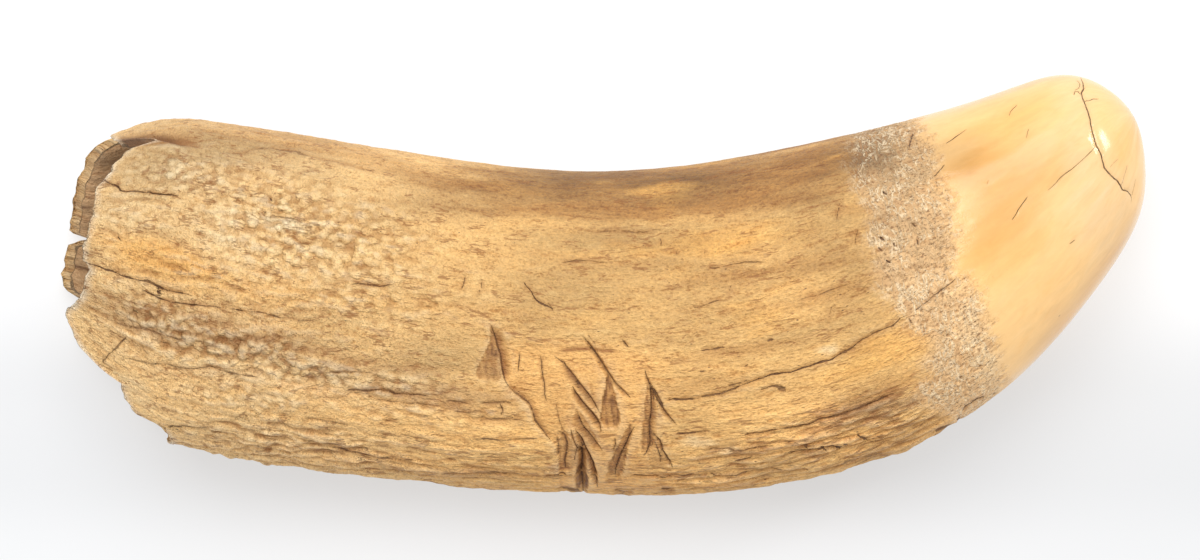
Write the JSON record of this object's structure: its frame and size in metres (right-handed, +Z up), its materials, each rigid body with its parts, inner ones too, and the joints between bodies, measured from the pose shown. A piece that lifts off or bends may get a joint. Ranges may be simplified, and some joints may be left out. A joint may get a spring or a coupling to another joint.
{
  "type": "whale tooth",
  "caption": "Curved old sperm-whale tooth lying on its side: rough ridged root with an open pulp cavity, blade cuts in the convex edge and a polished, cracked tip.",
  "frame": {"origin": "middle of the bounding box, on the surface that the tooth lies on", "axes": "+X from the open root to the polished tip, +Y towards the concave edge, +Z up from the side that it lies on"},
  "size_m": [0.1798, 0.0696, 0.0382],
  "materials": {
    "old_tooth": "satin"
  },
  "bodies": {
    "root": {"whale_tooth": "old_tooth"}
  },
  "joints": []
}
